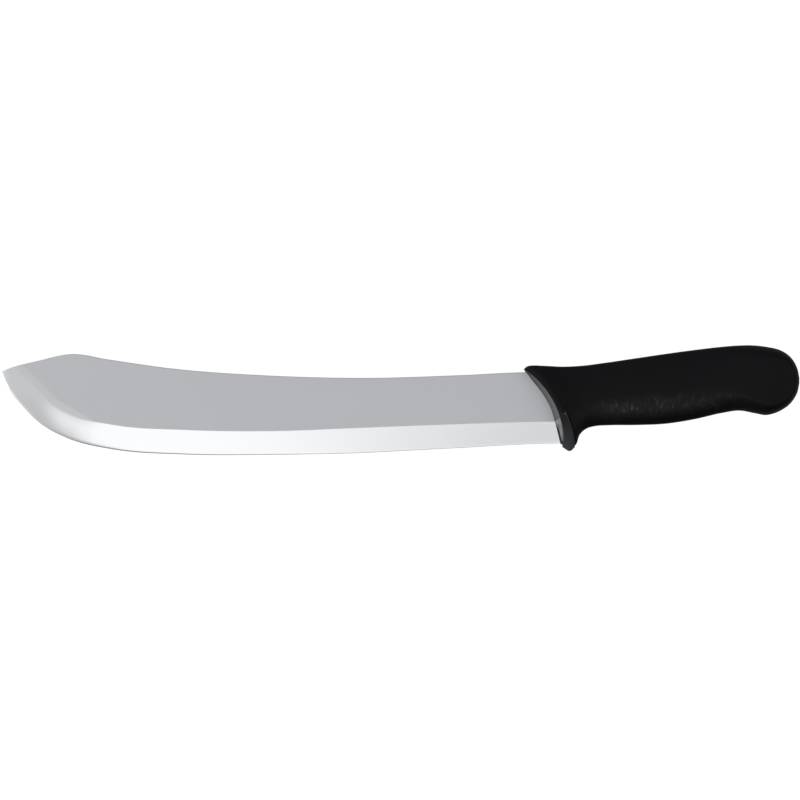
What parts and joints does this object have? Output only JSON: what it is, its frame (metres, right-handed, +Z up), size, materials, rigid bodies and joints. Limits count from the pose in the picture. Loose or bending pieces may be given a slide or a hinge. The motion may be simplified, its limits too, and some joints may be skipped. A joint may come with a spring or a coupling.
{
  "type": "butcher knife",
  "caption": "Long butcher's knife with a wide, upswept, clipped blade and a moulded handle with a finger guard and a hooked butt.",
  "frame": {"origin": "centre of the bottom of the bounding box, with the knife lying on its side", "axes": "+X from the point towards the butt, +Y from the cutting edge towards the spine, +Z up, across the knife's thickness; the middle plane of the blade is parallel to XY"},
  "size_m": [0.4384, 0.0604, 0.0225],
  "materials": {
    "blade_steel": "satin ground stainless steel, with brighter polished edge bevels",
    "core_plastic": "hard black nylon with a smooth satin face",
    "grip_plastic": "black moulded grip with a fine pebbled texture"
  },
  "bodies": {
    "root": {"blade": "blade_steel", "handle_core": "core_plastic", "handle_grip": "grip_plastic"}
  },
  "joints": []
}
